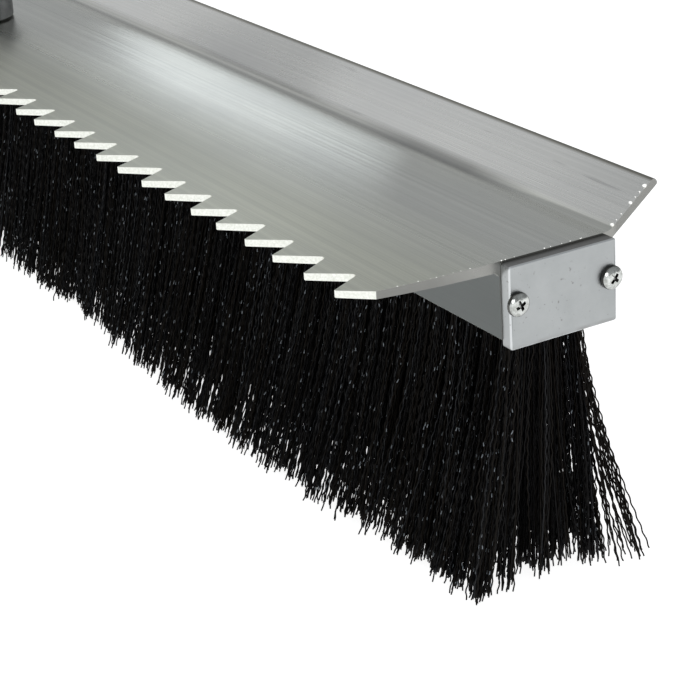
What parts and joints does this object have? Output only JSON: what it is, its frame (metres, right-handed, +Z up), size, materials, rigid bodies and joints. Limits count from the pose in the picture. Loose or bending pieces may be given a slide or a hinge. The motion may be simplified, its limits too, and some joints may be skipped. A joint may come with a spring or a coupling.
{
  "type": "lute and broom head",
  "caption": "Long aluminium levelling lute head with a toothed blade, a raised rear flange, black flared bristles under its channel and a tilting pole socket.",
  "frame": {"origin": "under the middle of the rail and of its channel, on the plane that the bristle tips stand on", "axes": "+X along the rail, +Z up out of the deck, and the toothed blade points to -Y"},
  "size_m": [0.7752, 0.1052, 0.2288],
  "materials": {
    "rail": "mill finish with fine lengthwise die lines, fresh-cut bright notches",
    "cap": "satin, lightly scratched",
    "fastener": "bright zinc",
    "bristle": "black crimped filament, slight sheen",
    "block": "plain hardwood",
    "casting": "grey cast aluminium",
    "nylon": "natural nylon"
  },
  "bodies": {
    "head": {"head_rail": "rail", "end_cap_right": "cap", "end_cap_left": "cap", "cap_screw_right_front": "fastener", "cap_screw_right_rear": "fastener", "cap_screw_left_front": "fastener", "cap_screw_left_rear": "fastener", "brush_block": "block", "bristle_row_1": "bristle", "bristle_row_2": "bristle", "bristle_row_3": "bristle", "bristle_row_4": "bristle", "bristle_row_5": "bristle", "handle_base": "casting", "pivot_bolt": "fastener", "pivot_nut": "fastener", "friction_washer_right": "nylon", "friction_washer_left": "nylon", "base_bolt_left": "fastener", "base_bolt_right": "fastener", "base_washer_left": "fastener", "base_washer_right": "fastener"},
    "socket": {"pole_socket": "casting", "pole_screw": "fastener"}
  },
  "joints": [
    {"name": "pole_tilt", "type": "hinge", "parent": "head", "child": "socket", "pos_m": [0, -0.026, 0.13875], "axis": [1, 0, 0], "range_deg": [-70, 70]}
  ]
}
